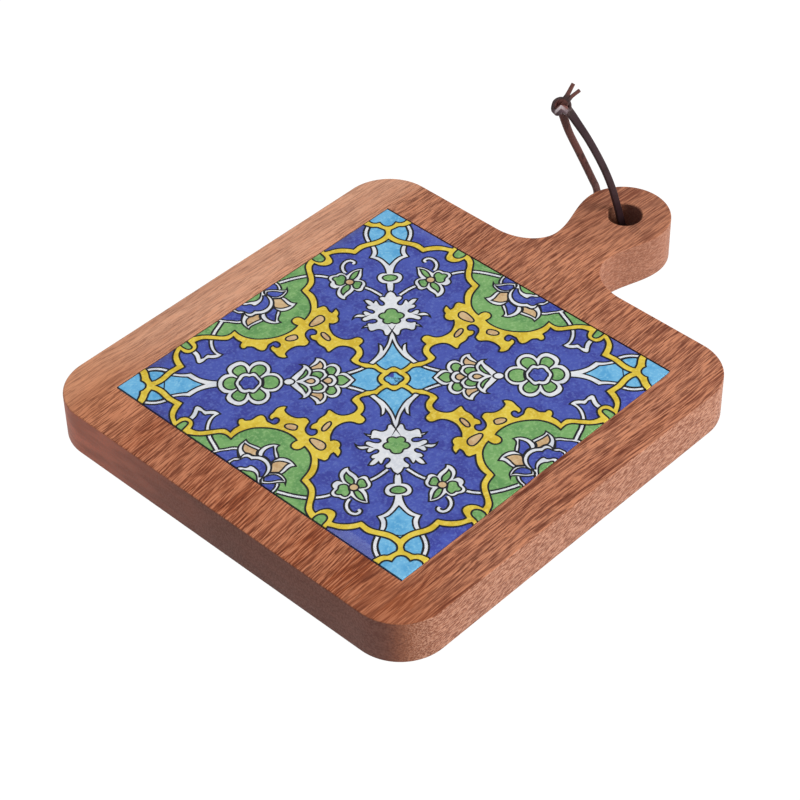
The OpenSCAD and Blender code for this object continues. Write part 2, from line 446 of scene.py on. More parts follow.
def lay(colour, mesh, height, thick=1.0):
    """Add a drawing to its colour, flattened and at its height above the rim."""
    sheet = bmesh.new()
    sheet.from_mesh(mesh)
    raised = Matrix.Translation((0, 0, height)) @ Matrix.Diagonal((1, 1, thick, 1))
    bmesh.ops.transform(sheet, matrix=raised, verts=sheet.verts)
    bmesh.ops.remove_doubles(sheet, verts=sheet.verts, dist=CUT_REACH)
    sheet.to_mesh(mesh)
    sheet.free()
    painted[colour].from_mesh(mesh)
    bpy.data.meshes.remove(mesh)


def coat_level(coat):
    """A coat's height above the rim."""
    return (COATS.index(coat) + 1) * COAT_STEP


def coat_height(coat):
    """Later coats lie over earlier ones, and so do later strokes of one coat."""
    global strokes_laid
    strokes_laid += 1
    return coat_level(coat) + strokes_laid * STROKE_STEP


def line(loops, closed, coat, colour="line"):
    lay(colour, drawn(loops, closed, width=LINE), coat_level(coat) + LINE_LIFT, LINE_FLAT)


def glaze(colour, coat, points, fold=None, lined=True):
    """A patch of one colour, with its dark edge."""
    loops = all_round(points, fold)
    top = coat_height(coat)
    lay(colour, drawn(loops, True, depth=top + SUNK), top / 2 - SUNK / 2)
    if lined:
        line(loops, True, coat)


def stem(width, points):
    """A white brush stroke of one width, with a dark edge on both sides."""
    loops = all_round(points, None)
    lay("line", drawn(loops, False, width=width + STEM_EDGE), coat_level(2), STEM_EDGE_FLAT)
    lay("white", drawn(loops, False, width=width * STEM_FULL), coat_level(2), STEM_FLAT)


# The edges of the yellow scrollwork
RIM_OUTER = [
    (0, 94.1, 1), (1.3, 94.4), (2.3, 95.3), (2.9, 96.3), (3.3, 96.9, 1), (4.1, 96.5), (5.1, 96.3),
    (6.1, 96.5), (6.9, 97), (7.7, 98, 1), (8.5, 100, 1), (11.5, 97, 1), (9.7, 95.3, 1), (8.9, 94.8),
    (8, 94.2), (7.1, 93.8), (6, 93.6), (5, 93.7), (4.2, 93.5), (3.3, 92.9), (2.4, 92.3),
    (1.5, 91.7, 1), (1.2, 90.6), (1.2, 89.5), (1.6, 88.3), (2.5, 87.1), (3.6, 86), (4.9, 85.2),
    (6.3, 84.6), (7.5, 84.2), (8.7, 83.8), (10, 83.3), (11.4, 82.7), (12.5, 81.9), (13.4, 80.9),
    (14.4, 79.6, 1), (15.5, 80), (17, 80.3), (18.8, 80.5), (20.5, 80.4), (22.3, 80), (24, 79.3),
    (25.9, 78.6, 1), (27.5, 81, 1), (30, 79, 1), (28.1, 77.9, 1), (27.2, 76.6), (26.4, 75.4),
    (26, 74.3), (26.2, 73.2), (26.9, 72.3), (27.9, 72), (29, 72.2), (30.1, 72.8), (30.9, 73.7),
    (31.6, 74.8, 1), (33, 76, 1), (35, 74, 1), (32.7, 73.5, 1), (33.3, 72), (33.8, 70.6), (34, 69),
    (33.8, 67.3), (33.5, 65.5), (33.2, 63.6), (32.9, 61.7), (32.9, 60), (33.3, 58.4), (34.2, 56.7),
    (35.1, 55.3), (35.6, 54.5, 1), (35, 53.2), (34, 51.6), (33.1, 49.9), (32.4, 48), (32, 46),
    (31.8, 44), (31.9, 42), (32.3, 40.2), (33, 38.5), (33.7, 37.2), (34.3, 36.4, 1), (35.1, 37.2),
    (36, 37.8), (37.2, 38), (38.3, 37.6), (39.1, 36.7), (39.3, 35.5), (38.9, 34.4), (38, 33.5),
    (37.1, 32.9, 1), (37.8, 31.6), (38.8, 30.4), (40.2, 29.1), (41.9, 27.9), (43.8, 26.9),
    (46, 26.1), (48.4, 25.6), (51, 25.4), (53.4, 25.5), (55.6, 26.1), (57.6, 27), (59.3, 28.2),
    (60.6, 29.6), (61.7, 31.1, 1), (62.6, 30), (63.6, 28.9), (64.8, 28.2), (66.3, 27.9), (68, 28.1),
    (70, 28.5), (72, 28.8), (73.8, 28.8), (75.5, 28.6), (77, 28.2), (78.2, 27.9, 1),
    (79.5, 29.5, 1), (82.5, 26.5, 1), (80.4, 25.6, 1), (79.5, 24.3), (78.6, 22.9), (78.1, 21.8),
    (78.4, 20.9), (79.2, 20.5), (80.1, 20.7), (81, 21.3), (82.1, 22.4), (82.9, 23.4, 1),
    (84.5, 24.5, 1), (86.5, 22.5, 1), (84.2, 21.9, 1), (84.8, 20), (85.3, 17.8), (85.4, 15.7),
    (85, 13.7), (84.4, 12), (84, 11.1, 1), (84.9, 10.2), (85.9, 9.4), (86.8, 8.6), (87.6, 7.6),
    (88.4, 6.5), (89.3, 5.2), (90.4, 4), (91.6, 3), (92.8, 2.5, 1), (93.3, 3.4), (93.8, 4.7),
    (94.1, 6.2), (94.5, 7.8), (95.1, 9.2), (95.9, 10.3, 1), (97, 12, 1), (100, 9, 1),
    (98.1, 8.1, 1), (97.6, 6.9), (97.3, 5.7), (97.1, 4.5), (97.1, 3, 1), (96.2, 2.4), (95.5, 1.6),
    (95.1, 0.8), (95, 0, 1)]
SIDE_INNER = [
    (91, 0, 1), (89.6, 0.9), (88.3, 2), (87.2, 3.3), (86.2, 4.7), (85.2, 6.1), (84.2, 7.2),
    (83, 8.2), (81.7, 9.2), (80.4, 10.3, 1), (81, 11.5), (81.8, 13.2), (82.5, 15), (82.9, 16.8),
    (82.9, 18.4), (82.4, 19.9, 1), (81.5, 18.9), (80.4, 18.3), (79.2, 18.2), (78, 18.7),
    (76.9, 19.7), (76.2, 21), (76.1, 22.5), (76.4, 23.7), (76.8, 24.7, 1), (75.8, 25.4), (74.5, 26),
    (73, 26.2), (71.3, 26), (69.5, 25.8), (67.5, 25.5), (65.5, 25.3), (64, 25.5), (63, 26.3),
    (62.1, 27.3, 1), (61.4, 26.2), (60.5, 25.1), (59.5, 24.3), (58.9, 23.7, 1), (59.3, 22.8),
    (59.4, 21.6), (59, 20.5), (58.1, 20), (57.2, 20.3), (56.6, 21), (55.6, 21), (54.6, 20.9),
    (53.7, 20.3), (52.9, 19.5), (52, 18.8), (51, 18.4), (50, 18.5), (49.3, 19.2), (48.8, 20.2),
    (48.5, 21.3), (48.1, 22.1), (47.3, 22.7), (46.6, 23.3), (45.6, 23.7), (44.7, 23.3), (44, 22.4),
    (43.8, 21.3), (44.3, 20.4), (45.1, 20.1), (45.8, 20.5), (46.4, 21.3, 1), (47.1, 20.9),
    (47.6, 20), (47.5, 19.1), (46.9, 18), (46.1, 17), (45.4, 15.7), (44.5, 14.6), (43.3, 14),
    (42, 13.8), (41, 14.1, 1), (41.2, 15), (41.6, 15.9), (41.4, 16.9), (40.7, 18), (39.8, 19),
    (38.6, 19.9), (37.2, 20.5), (35.8, 20.6), (34.5, 20.5), (33.4, 20.9), (32.7, 21.9),
    (32.3, 23, 1), (32.9, 24.2), (33.5, 25.4), (33.9, 26.8), (33.8, 28.2), (33.2, 29.4),
    (32.4, 30.2), (31.4, 30.5), (30.4, 30.1), (29.7, 29.2), (29.6, 28.1), (30.1, 27.2), (31, 27.1),
    (31.9, 26.8), (32.1, 26), (31.9, 25.1), (31.3, 24.3), (30.5, 23.8), (29.8, 23.4, 1),
    (29.4, 22.4), (28.8, 21.3), (27.9, 20.4), (26.9, 19.6), (26.2, 18.7), (25.8, 17.6),
    (25.4, 16.7, 1), (24.6, 16.6), (24, 17.1), (23.2, 17.9), (22.3, 18.8), (21.2, 19.5),
    (19.9, 19.8), (18.5, 19.7), (17, 19.2), (15.7, 18.4), (14.8, 17.3), (14.4, 16.1), (14.6, 15),
    (15.3, 13.8), (16, 12.7), (16.5, 11.8, 1), (16.3, 10.9), (15.6, 9.9), (14.7, 9), (13.6, 8.3),
    (12.5, 7.6), (11.4, 6.9), (10.5, 6.5), (9.4, 6.5), (8.2, 6.3), (7.2, 5.8), (6.5, 5), (5.7, 4.1),
    (4.7, 3.4, 1), (5.3, 2.7), (5.8, 1.9), (6.2, 0.9), (6.3, 0, 1)]
CUP = [
    (0, 3.7, 1), (0.7, 3.7), (1.3, 3.3), (1.8, 2.6), (2.2, 2.1), (2.9, 1.6), (3.4, 1), (3.7, 0.4),
    (3.8, 0, 1)]
FRONT_INNER = [
    (0, 85.5, 1), (1, 84.5), (2.4, 83.3), (4.2, 82.2), (6, 81.5), (8, 80.9), (9.6, 80.2),
    (11, 79.2), (12.3, 77.8), (13.2, 76.7), (13.9, 76.3, 1), (15.5, 76.9), (17.5, 77.3),
    (19.8, 77.4), (22, 77.1), (23.3, 76.7), (24.1, 76.2, 1), (23.7, 75.2), (23.1, 73.8),
    (22.8, 72.4), (23.1, 71.2), (24, 70.2), (25.5, 69.5), (27, 69.5), (28.5, 69.9), (29.6, 70.6),
    (30.3, 71.1, 1), (31, 69.8), (31.2, 68), (31, 66), (30.6, 64.5), (30.3, 62.5), (30.2, 60.5),
    (30.4, 58.5), (31, 56.8), (31.7, 55.5), (32.4, 54.1, 1), (31.3, 52.8), (30.3, 51.2),
    (29.6, 49.3), (29.2, 47.3), (29.1, 45.3), (29.1, 43.4, 1), (28, 43.9), (26.9, 44.4),
    (25.8, 43.9), (25.2, 43), (24.8, 41.8), (24.3, 40.9), (23.5, 40.2, 1), (22.9, 40.9),
    (22.4, 41.9), (21.8, 42.5, 1), (21.1, 41.3), (20.7, 40), (20.8, 38.8), (21.2, 37.8, 1),
    (20.8, 36.6), (20.8, 35.4), (21.3, 34.3), (22.2, 33.6), (23.3, 33.3), (24.4, 33.5, 1),
    (24.5, 32.2), (24.4, 31), (24, 29.5), (23.5, 28), (22.8, 26.7), (21.8, 25.6), (20.6, 24.7),
    (19.3, 24), (18, 23.7), (16.8, 23.7), (15.6, 24.1), (14.5, 24.7), (13.4, 24.9), (12.4, 24.6),
    (11.7, 23.8), (11.3, 22.9), (11.4, 21.9), (11.9, 21), (12.5, 20.3), (12.9, 19.6, 1),
    (12.2, 18.6), (11.7, 17.4), (11.5, 16), (11.6, 14.5), (12.1, 13.1), (12.8, 11.9), (13.1, 11),
    (12.7, 10.3), (11.8, 9.8), (10.6, 9.5), (9.4, 9.2), (8.4, 8.7), (7.6, 8.6), (7, 9.2, 1),
    (6.4, 8.7), (5.7, 7.7), (4.9, 6.8), (4, 6), (3.2, 5.4), (2.7, 5.3), (2, 5.8), (1.2, 6.4),
    (0.5, 6.8), (0, 6.8, 1)]
# The grounds that show between the motifs
glaze("turquoise", 1, [
    (0, 93, 1), (3, 94.8), (8, 96, 1), (11, 97, 1), (11, 107, 1),
    (0, 107, 1)], fold="left_right", lined=False)
glaze("turquoise", 1, [
    (92, 0, 1), (93, 2, 1), (96.5, 4), (96.5, 11, 1), (107, 11, 1),
    (107, 0, 1)], fold="near_far", lined=False)
glaze("green", 1, [
    (27.2, 80.5, 1), (25.6, 75), (26.5, 71), (30, 71.5), (32.5, 74, 1), (32.4, 64), (31.8, 58),
    (34.5, 54.5, 1), (31.2, 48), (31, 42), (33.3, 36, 1), (36, 36.5), (38.3, 35.5), (35.8, 33, 1),
    (40, 28.3), (46, 25.2), (51, 24.8), (57, 26), (61.7, 29.5, 1), (63.5, 27.8), (66, 27.2),
    (75, 28), (76.5, 24, 1), (77, 20.5), (79, 19.6), (81.5, 20.5), (83.7, 22.5, 1), (85, 25, 1),
    (30, 80, 1)], lined=False)
# The edge that the tip of the middle shares with the starry leaf
WAIST = [
    (0, 22.3, 1), (0.5, 20.5), (1.1, 18.6), (2.2, 16), (3.2, 14), (4.3, 12.3), (5.4, 11.1),
    (6.4, 10.1)]
glaze("turquoise", 1, WAIST + [
    (7.1, 9.2, 1), (5, 6.5), (3, 5), (1.5, 5.8), (0, 6, 1)], fold="left_right")
glaze("turquoise", 1, [
    (14.8, 0, 1), (16.8, 2.9, 1), (15, 3.8), (13.2, 4.7), (11.8, 5.6), (10.4, 6.7, 1), (8, 7),
    (6, 4.5), (4, 3.4, 1), (5.4, 1), (5.5, 0, 1)], fold="near_far")
glaze("turquoise", 1, [
    (4.6, 0, 1), (3, 2.6), (0, 4.6, 1)], fold="both", lined=False)
glaze("turquoise", 1, [
    (1, 91.5, 1), (0.8, 89.5), (2, 87), (4, 85), (7, 83.6, 1), (7.9, 86.8), (8.15, 89.3),
    (7.8, 91.6), (7.2, 94, 1), (5, 94.2), (3, 93.3)])
glaze("turquoise", 1, [
    (88.1, 7.5, 1), (89.8, 8.2), (91.6, 8.5), (94, 8.4, 1), (94.8, 7), (94, 3), (92.7, 1.8, 1),
    (91, 2.6), (88.5, 5.5)])
# The tongues at the rim
glaze("white", 2, [
    (0, 84, 1), (8, 82.6, 1), (7.3, 80.5), (7, 79), (6.9, 77.6), (7.2, 76), (7.8, 74.7),
    (8.1, 73.9, 1), (6.8, 73.4), (5.2, 72.4), (3.8, 70.9), (2.7, 69), (2, 67), (1.6, 65),
    (1.5, 63.9, 1), (2.9, 64), (4.2, 63.3), (5, 62.1), (5.1, 60.4), (4.4, 58.7), (3.2, 57.6),
    (1.5, 57.2, 1), (1.5, 55.8), (1.4, 54.3), (1.2, 53), (0.7, 51.9, 1),
    (0, 51, 1)], fold="left_right")
glaze("turquoise", 2.5, [
    (0, 87, 1), (6.5, 82.5, 1), (5.4, 81), (4.9, 79.6), (4.7, 77.8), (4.8, 76.2), (5.3, 74.8, 1),
    (4.1, 74.2), (2.8, 73), (1.5, 71.3), (0.6, 69.9), (0, 69.1, 1)], fold="left_right")
glaze("green", 3, [
    (0, 62.7), (1.4, 62.5), (2.6, 61.8), (3, 60.9), (2.5, 59.9), (1.4, 59.1),
    (0, 58.8)], fold="left_right")
glaze("white", 2, [
    (66, 0, 1), (67, 1.6, 1), (69, 1.9), (71, 2.3), (73, 3), (75, 4.1), (76.6, 5.5), (78, 6.8, 1),
    (79.5, 6.5), (81.5, 6.4), (83.5, 6.7), (85.5, 7.3, 1), (88, 3, 1), (88, 0, 1)], fold="near_far")
glaze("turquoise", 2.5, [
    (72.9, 0, 1), (74.8, 1), (76.5, 2.1), (78, 3.3), (79.2, 4.4, 1), (80.6, 4.5), (82.6, 4.8),
    (85.6, 5.5, 1), (88, 3, 1), (93, 0, 1)], fold="near_far")
# The starry leaf, and the stem that carries it
glaze("white", 3, [
    (0, 52.6, 1), (0.9, 51.9), (1.7, 51), (2.1, 50), (2.5, 49.1, 1), (3.3, 49.3), (4.1, 49.1),
    (4.6, 48.4), (4.5, 47.6), (3.9, 46.8), (3.2, 46), (2.7, 45.1), (2.8, 44.2), (3.5, 43.8),
    (4.2, 44), (4.7, 44.8), (5.1, 45.8), (5.5, 46.7), (6.2, 46.9), (6.9, 45.7, 1), (7.5, 46.5),
    (8.3, 47.2), (9.4, 47.6), (10.7, 47.3, 1), (10.2, 46.2), (9.6, 45.1), (8.7, 44, 1), (9.4, 43.8),
    (9.8, 43.1), (9.5, 42.2), (8.8, 41.5), (7.8, 41.2), (7, 40.6), (6.7, 39.9), (7, 39.3),
    (7.6, 39.1), (8.4, 39.5), (9.2, 40.2), (10.1, 40.6), (11, 40.3), (11.2, 39.5), (10.8, 38.4, 1),
    (12, 38.8), (13.2, 38.8), (14.3, 38.1), (15, 37.1), (15.3, 36, 1), (14.4, 36.7), (13.2, 36.9),
    (11.8, 36.8), (10.4, 37.2, 1), (11.2, 36.6), (11.7, 35.8), (11.6, 35), (10.8, 34.4),
    (9.8, 34.5), (8.6, 35.1), (7.4, 35.4), (6.3, 35.2), (5.8, 34.5), (6.1, 33.7), (7, 33.2),
    (8.1, 33.1), (9.1, 33.3), (9.7, 32.8), (9.7, 31.9, 1), (10.5, 31.7), (11.1, 31.2),
    (11.6, 30.3, 1), (10.6, 30.6), (9.5, 30.9, 1), (9.3, 29.8), (9, 28.9), (8.4, 28.4), (7.5, 28.4),
    (6.4, 28.9), (5.4, 29.2), (4.4, 29), (3.6, 28.4), (3.3, 27.5), (3.1, 26.5), (2.8, 25.8),
    (2.1, 25.4), (1.5, 25.5), (0.95, 26.4), (0.4, 27.4, 1), (0.85, 26.2), (1.2, 24.9), (1.5, 23.2),
    (1.9, 21.4), (2.6, 19.4), (3.6, 17.3, 1), (3.8, 18.8), (4.4, 20), (5.4, 20.7, 1), (5.4, 19.2),
    (5.35, 17.5), (5.6, 15.8), (6.5, 13.8), (7.6, 12.1), (8.7, 10.7), (9.9, 9.3, 1), (8, 8, 1),
    (7, 9.2, 1)] + WAIST[::-1], fold="left_right")
glaze("green", 4, [
    (0, 41.6), (1.2, 41.4), (2, 40.7), (2.4, 39.7), (2.7, 39.2, 1), (3.7, 39), (4.6, 38.3),
    (5, 37.4), (4.7, 36.4), (4, 35.7), (3.1, 35.3, 1), (3.4, 34.4), (3.2, 33.4), (2.4, 32.7),
    (1.3, 32.5), (0.5, 32.8), (0, 33.1, 1)], fold="left_right")
stem(1.3, [
    (10.6, 7.5), (12.3, 6.4), (14, 5.5), (15.8, 4.7), (18, 3.8)])
# The lotus
glaze("white", 3, [
    (14.8, 0, 1), (15.7, 1.3), (16.7, 2.7), (17.7, 3.9), (18.7, 4.4), (19.8, 4.5), (20.6, 4.1, 1),
    (20.3, 5.2), (20.3, 6.5), (20.7, 7.8), (21.4, 8.9), (22.5, 9.7), (23.8, 9.9), (24.9, 9.5),
    (25.6, 8.9, 1), (25.8, 10.2), (26.4, 11.6), (27.4, 12.7), (28.7, 13.3), (30, 13.4, 1),
    (30.1, 12.4), (30.7, 11.1), (31.6, 9.9), (32.7, 8.5, 1), (33.4, 9.2), (34.3, 9.7),
    (35.9, 9.8, 1), (35, 8.8), (35.3, 7.6), (36.2, 6.4), (37.4, 5), (38.5, 3.6), (39.6, 2.1),
    (39.8, 1, 1), (39, 0, 1)], fold="near_far")
glaze("white", 4, [
    (38, 0, 1), (38.4, 0.9), (39.3, 1.6), (40.4, 1.8), (41.4, 1.5), (42.1, 0.8),
    (42.4, 0, 1)], fold="near_far")
glaze("green", 4, [
    (16.9, 0, 1), (17.7, 1), (18.6, 2), (19.6, 2.7), (20.6, 2.8), (21.4, 2.5), (21.9, 2, 1),
    (21.6, 1), (21.5, 0, 1)], fold="near_far")
glaze("green", 4, [
    (22.1, 5.8), (22.5, 7.1), (23.4, 7.9), (24.5, 8), (25.5, 7.4), (26.1, 6.3), (26, 5.2),
    (25.5, 4), (25.1, 3.3, 1), (24, 3.4), (23.1, 3.3, 1), (22.5, 4.4)])
glaze("apricot", 4, [
    (28.3, 11.3, 1), (27.5, 10.2), (27.1, 8.8), (27.2, 7.7), (27.7, 6.9, 1), (29, 7), (30.3, 6.8),
    (31.6, 6.5, 1), (32.2, 7.8, 1), (30.9, 8.6), (29.7, 9.4), (28.9, 10.3)])
glaze("green", 4, [
    (27.1, 3.6), (27.5, 4.6), (28.5, 5.3), (29.8, 5.4), (31.3, 5.1, 1), (31.5, 4.2), (32, 3.2, 1),
    (30.8, 3), (29.6, 2.4), (28.9, 1.7), (28.5, 1.2, 1), (27.7, 2), (27.2, 2.9)])
glaze("apricot", 4, [
    (23.6, 0, 1), (23.8, 0.8), (24.4, 1.5), (25.2, 1.8), (26, 1.4), (26.8, 0.7),
    (27.5, 0, 1)], fold="near_far")
glaze("apricot", 4, [
    (30.2, 0, 1), (30.6, 0.9), (31.5, 1.4), (32.6, 1.2), (33.5, 0.6),
    (34.3, 0, 1)], fold="near_far")
glaze("green", 4, [
    (33.7, 6.7, 1), (33.1, 5.6), (33.2, 4.2), (34, 2.9), (35.2, 1.7), (36.8, 0.9, 1), (36.2, 2.1),
    (35.3, 3.4), (34.6, 4.6), (34.1, 5.8)])
for edge in (
    [(21.6, 0, 1), (21.9, 1.2), (22.5, 2.4), (23.4, 3.2), (24.3, 3.5), (25.1, 3.4), (25.4, 2.7),
    (26.2, 1.6), (27, 0.8), (27.7, 0, 1)],
    [(28.2, 0, 1), (28.5, 1.1), (29.4, 2.2), (30.7, 2.9), (32, 3.1, 1)],
    [(32.6, 8.6, 1), (31.8, 7.3), (31.4, 6), (31.5, 4.7), (32, 3.2, 1)],
    [(25.2, 3.3, 1), (25.3, 4.5), (25.8, 5.6), (26.8, 6.5), (27.8, 6.9, 1)]):
    line(all_round(edge, None), False, 4)
# The six-petal flower
glaze("white", 3, [
    (42.3, 0, 1), (42.5, 1.7), (43.3, 3.3), (44.5, 4.8), (46, 5.5), (47.4, 5.5, 1), (47.2, 6.8),
    (47.3, 8.4), (47.9, 10), (49, 11.4), (50.5, 12.3), (52.1, 12.5), (53.5, 12.1), (54.6, 11.3),
    (55.5, 10, 1), (56.4, 11.3), (57.6, 12.3), (59, 12.8), (60.3, 12.6), (61.7, 11.8), (63, 10.8),
    (63.9, 9.5), (64.3, 8), (64, 6.7), (63.6, 5.6, 1), (64.9, 5.4), (66, 4.5), (66.9, 3.2),
    (67.5, 1.7), (67.7, 0, 1)], fold="near_far")
glaze("green", 4, [
    (49.1, 7.3), (49.5, 8.9), (50.5, 9.9), (51.8, 10.2), (53.2, 9.7), (54.3, 8.6), (55, 7.1),
    (55.3, 5.4, 1), (54.4, 5.9), (53.6, 5.8), (52.8, 5.2), (52.2, 4.2), (51.6, 3.4, 1), (50.7, 4.4),
    (49.8, 5.5), (49.3, 6.4)])
glaze("green", 4, [
    (56.2, 5.6, 1), (56.6, 7), (57, 8.5), (57.8, 9.7), (59, 10.2), (60.3, 9.7), (61.4, 8.6),
    (62, 7.2), (61.7, 6), (60.8, 4.9), (59.8, 3.8, 1), (59.2, 4.6), (58.3, 5.4), (57.3, 5.8)])
glaze("green", 4, [
    (43.9, 0, 1), (44.1, 1.3), (44.9, 2.7), (46.2, 3.5), (47.7, 3.7), (49.1, 3.4), (50.3, 2.6, 1),
    (50, 1.3), (49.9, 0, 1)], fold="near_far")
glaze("green", 4, [
    (61, 0, 1), (60.8, 1.2), (60.2, 2.5, 1), (61.3, 3.3), (62.6, 3.6), (63.9, 3.1), (64.9, 2.1),
    (65.4, 0.9), (65.5, 0, 1)], fold="near_far")
glaze("white", 4.5, [
    (50.5, 0, 1), (50.6, 1.5), (51.6, 3.2, 1), (52.2, 4.3), (52.9, 5.3), (53.8, 5.9),
    (55.3, 5.3, 1), (56.8, 5.8), (58.3, 5.4), (59.4, 4.3), (59.9, 3), (60.5, 1.6),
    (61, 0, 1)], fold="near_far")
glaze("cobalt", 5, [
    (51.8, 0, 1), (52, 0.9), (52.7, 1.9), (53.2, 2.8), (53.8, 3.5), (54.7, 3.6), (55.5, 3.2, 1),
    (56.4, 3.6), (57.4, 3.5), (58, 2.7), (58.5, 1.6), (59.1, 0.8), (59.2, 0, 1)], fold="near_far")
# The little four-petal flower and its stems
glaze("white", 3, [
    (10.9, 67.1, 1), (12.4, 67.1), (14, 66.5), (15.6, 65.4), (16.7, 64.2), (17.4, 63.4, 1),
    (18.3, 64.3), (19.5, 64.9), (20.8, 64.6), (21.8, 63.8), (23.2, 63.5), (24.3, 62.8),
    (24.8, 61.5), (24.4, 60.2), (23.7, 59.2, 1), (24.3, 58), (24.2, 56.6), (23.2, 55.4), (22, 54.9),
    (20.8, 55.4, 1), (21.3, 54), (21.6, 52.3), (21.2, 50.5), (20.2, 49), (18.8, 48.1),
    (17.9, 48.1, 1), (17.8, 49.3), (17.1, 50.3), (16, 51.4), (15, 52.6), (14.4, 53.7, 1),
    (13.2, 52.9), (11.9, 52.8), (10.9, 53.6), (10.5, 55), (9.9, 56.2), (9.7, 57.6), (10.2, 59),
    (11.2, 59.9), (12.1, 60.3, 1), (11.5, 61.5), (11.1, 63.2), (11.1, 65)])
glaze("green", 4, [
    (14.7, 60.4, 1), (13.4, 62.1), (12.7, 64), (12.2, 65.9, 1), (13.8, 65.3), (15.1, 64),
    (15.9, 62.3), (16.3, 60.8, 1)])
glaze("green", 4, [
    (18, 60), (17.7, 61.2), (18.2, 62.5), (19.3, 63.4), (20.3, 63), (20.9, 62.3, 1), (22, 62.3),
    (22.9, 61.7), (23, 60.8), (22.2, 59.8), (21.9, 58.9, 1), (21.7, 57.8), (20.7, 57.1),
    (19.3, 57.1), (18.4, 57.8)])
glaze("green", 4, [
    (16.2, 57, 1), (16.1, 55.2), (16.8, 53.7), (18, 52.4), (18.9, 50.9, 1), (19.6, 52.3),
    (19.6, 54), (19, 55.5), (18.1, 56.6), (17.3, 57.2, 1)])
glaze("green", 4, [
    (14.5, 59.1), (13, 59), (11.9, 58.8), (11.4, 57.8), (11.8, 56.5), (12.3, 55.2), (13.2, 54.5),
    (14.2, 54.8), (14.8, 55.9), (15, 57.2)])
glaze("apricot", 5, [
    (16.2, 60.5), (17.4, 60.1), (18, 58.9), (17.5, 57.6), (16.2, 57), (15, 57.5), (14.4, 58.8),
    (15, 60)])
stem(1.35, [
    (17.9, 64.6), (18.8, 66.6), (19, 68.6), (18.5, 70.4), (17.4, 71.9), (15.9, 72.5), (14.7, 72),
    (14.2, 71), (14.8, 70.2)])
stem(1.3, [
    (3.6, 49.8), (5.5, 51.7), (7.5, 53.5), (10.4, 55.4)])
stem(1.3, [
    (24.9, 62.3), (27, 63), (29.5, 63.4), (33.5, 63.4), (36, 62.9), (39, 62), (42, 60.8),
    (44.3, 59.8)])
stem(1.5, [
    (8.1, 94.4), (8.9, 92), (9.2, 89.6), (8.9, 87), (8, 84)])
stem(1.35, [
    (87, 8.5), (89.4, 9.4), (91.5, 9.7), (93.8, 9.5), (95.4, 9.1)])
# The notched ribbon
glaze("white", 2, [
    (69.6, 27, 1), (69.9, 24.5), (69.5, 21.8), (68.6, 19.3), (67.4, 17.9), (66, 17, 1),
    (67.3, 15.6), (69, 14.9), (71.4, 15, 1), (72.3, 14.4), (73.1, 13.3), (74, 12.5), (75.1, 12.1),
    (76, 12.7, 1), (76.3, 14), (76.7, 15.8), (77.4, 17.4), (78.4, 18.7, 1), (77.4, 20.6, 1),
    (76.2, 19.5), (75.1, 17.9), (74.6, 16.5), (74.3, 15.1, 1), (73.4, 15.5), (72.8, 16.5),
    (71.9, 17.4, 1), (70.5, 17.1), (68.9, 17.2, 1), (70, 18.7), (70.9, 20.7), (71.4, 23),
    (71.6, 27, 1)])
stem(1.4, [
    (66.8, 36.9), (68.2, 33.5), (69.4, 30.8), (70.2, 28)])
# Half of a rosette, which the next tile would complete
stem(1.0, [
    (44.2, 55.4), (44.5, 57), (45.2, 58.5), (46.4, 60.1)])
glaze("cobalt", 2.5, [
    (44.9, 55.6, 1), (45.2, 57.3), (46.1, 58.8), (47.3, 60, 1), (51.5, 56.5, 1), (50, 55, 1)])
glaze("cobalt", 2.5, [
    (59, 40.5, 1), (59.3, 37, 1), (61, 36.8), (63, 37.2), (65, 37.4), (67.5, 38.2), (69.5, 38.5, 1),
    (64, 45, 1), (61, 43, 1), (58, 41.6, 1)])
stem(1.1, [
    (58.9, 36.3), (60.8, 36.1), (62.4, 36.4), (64.2, 36.9), (66.2, 37.1), (68.4, 37.8), (70, 38)])
glaze("white", 3, [
    (41.3, 55.9, 1), (41.6, 55.2), (42.7, 55), (44.2, 55.1), (46, 55.4), (48, 55.5),
    (50.3, 55.1, 1), (50, 52.5), (48, 50.3, 1), (46, 49.7), (44.4, 50), (42.9, 50.9), (41.8, 52.4),
    (41.1, 54)])
glaze("cobalt", 4, [
    (42.2, 54, 1), (43.5, 53.7), (45.3, 54.1), (47.2, 54.4), (49.2, 54.1, 1), (49.2, 52.6),
    (48, 51.5), (46.5, 50.9), (45, 51), (43.7, 51.8), (42.8, 52.9)])
glaze("white", 3, [
    (37.4, 46.7, 1), (39.2, 47.1), (40.4, 48.2), (41.4, 49.5), (42.6, 50.6, 1), (44.5, 50.1),
    (47.2, 50, 1), (47, 46.5), (46.6, 43.6, 1), (44.8, 42.2), (42.8, 41.9), (40.8, 42.5),
    (39.2, 43.8), (38, 45.5)])
glaze("apricot", 4, [
    (43.6, 49.7, 1), (45.2, 49.7), (46.9, 49.6, 1), (46.5, 47.4), (46.5, 45.6), (46.2, 44.5, 1),
    (44.7, 43.9), (43.1, 43.8), (41.5, 44.3), (39.9, 45.1, 1), (41, 46), (42, 47.4), (42.8, 48.7)])
glaze("white", 3, [
    (43.6, 35.2, 1), (44.5, 36.4), (44.6, 37.9), (44.1, 39.8), (43.8, 42, 1), (47, 44, 1),
    (50.5, 41.5, 1), (51.7, 40, 1), (51.4, 38.2), (50.6, 36.9), (49.6, 35.8), (48.2, 35),
    (46.5, 34.5), (45, 34.6)])
glaze("cobalt", 4, [
    (45, 42.6, 1), (46.7, 44.3, 1), (47.8, 42.4), (48.8, 41.2), (49.7, 40.5, 1), (49.4, 39.2),
    (48.7, 37.8), (47.5, 36.7), (45.9, 35.9, 1), (45.7, 37.8), (45.6, 39.7), (45.3, 41.3)])
